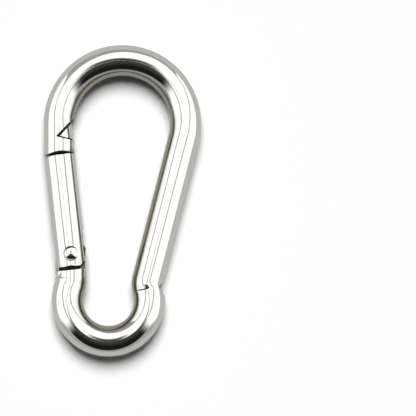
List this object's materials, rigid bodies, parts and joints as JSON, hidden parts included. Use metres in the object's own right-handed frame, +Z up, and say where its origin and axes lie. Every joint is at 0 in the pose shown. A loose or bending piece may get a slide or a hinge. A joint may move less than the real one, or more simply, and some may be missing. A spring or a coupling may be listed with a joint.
{
  "type": "spring snap hook",
  "caption": "Pear-shaped snap hook bent from round steel rod, with a sprung gate that opens inwards, a wide bow and a small eye.",
  "frame": {"origin": "middle of the hook's outline, on the plane that the flat-lying rod rests on", "axes": "+Y along the hook's length, from the small eye to the wide bow; +X from the gate to the closed leg; +Z up through the rod"},
  "size_m": [0.0404, 0.08, 0.008],
  "materials": {
    "polished_steel": "tumble-polished stainless steel",
    "spring_steel": "drawn and turned stainless steel"
  },
  "bodies": {
    "frame": {"frame": "polished_steel"},
    "gate": {"gate": "polished_steel", "hinge_pin": "polished_steel", "return_spring": "spring_steel"},
    "plunger": {"plunger": "spring_steel"}
  },
  "joints": [
    {"name": "gate_hinge", "type": "hinge", "parent": "frame", "child": "gate", "pos_m": [-0.01312, -0.01342, 0.004], "axis": [0, 0, -1], "range_deg": [0, 42], "stiffness_Nm_per_rad": 0.0055, "springref_deg": -40.11},
    {"name": "plunger_slide", "type": "slide", "parent": "gate", "child": "plunger", "axis": [-0.1074, 0.9942, 0], "range_m": [0, 0.0006], "deforming": ["return_spring"]}
  ],
  "couplings": [
    {"joint": "plunger_slide", "follows": "gate_hinge", "m_per_rad": 0.0007}
  ]
}
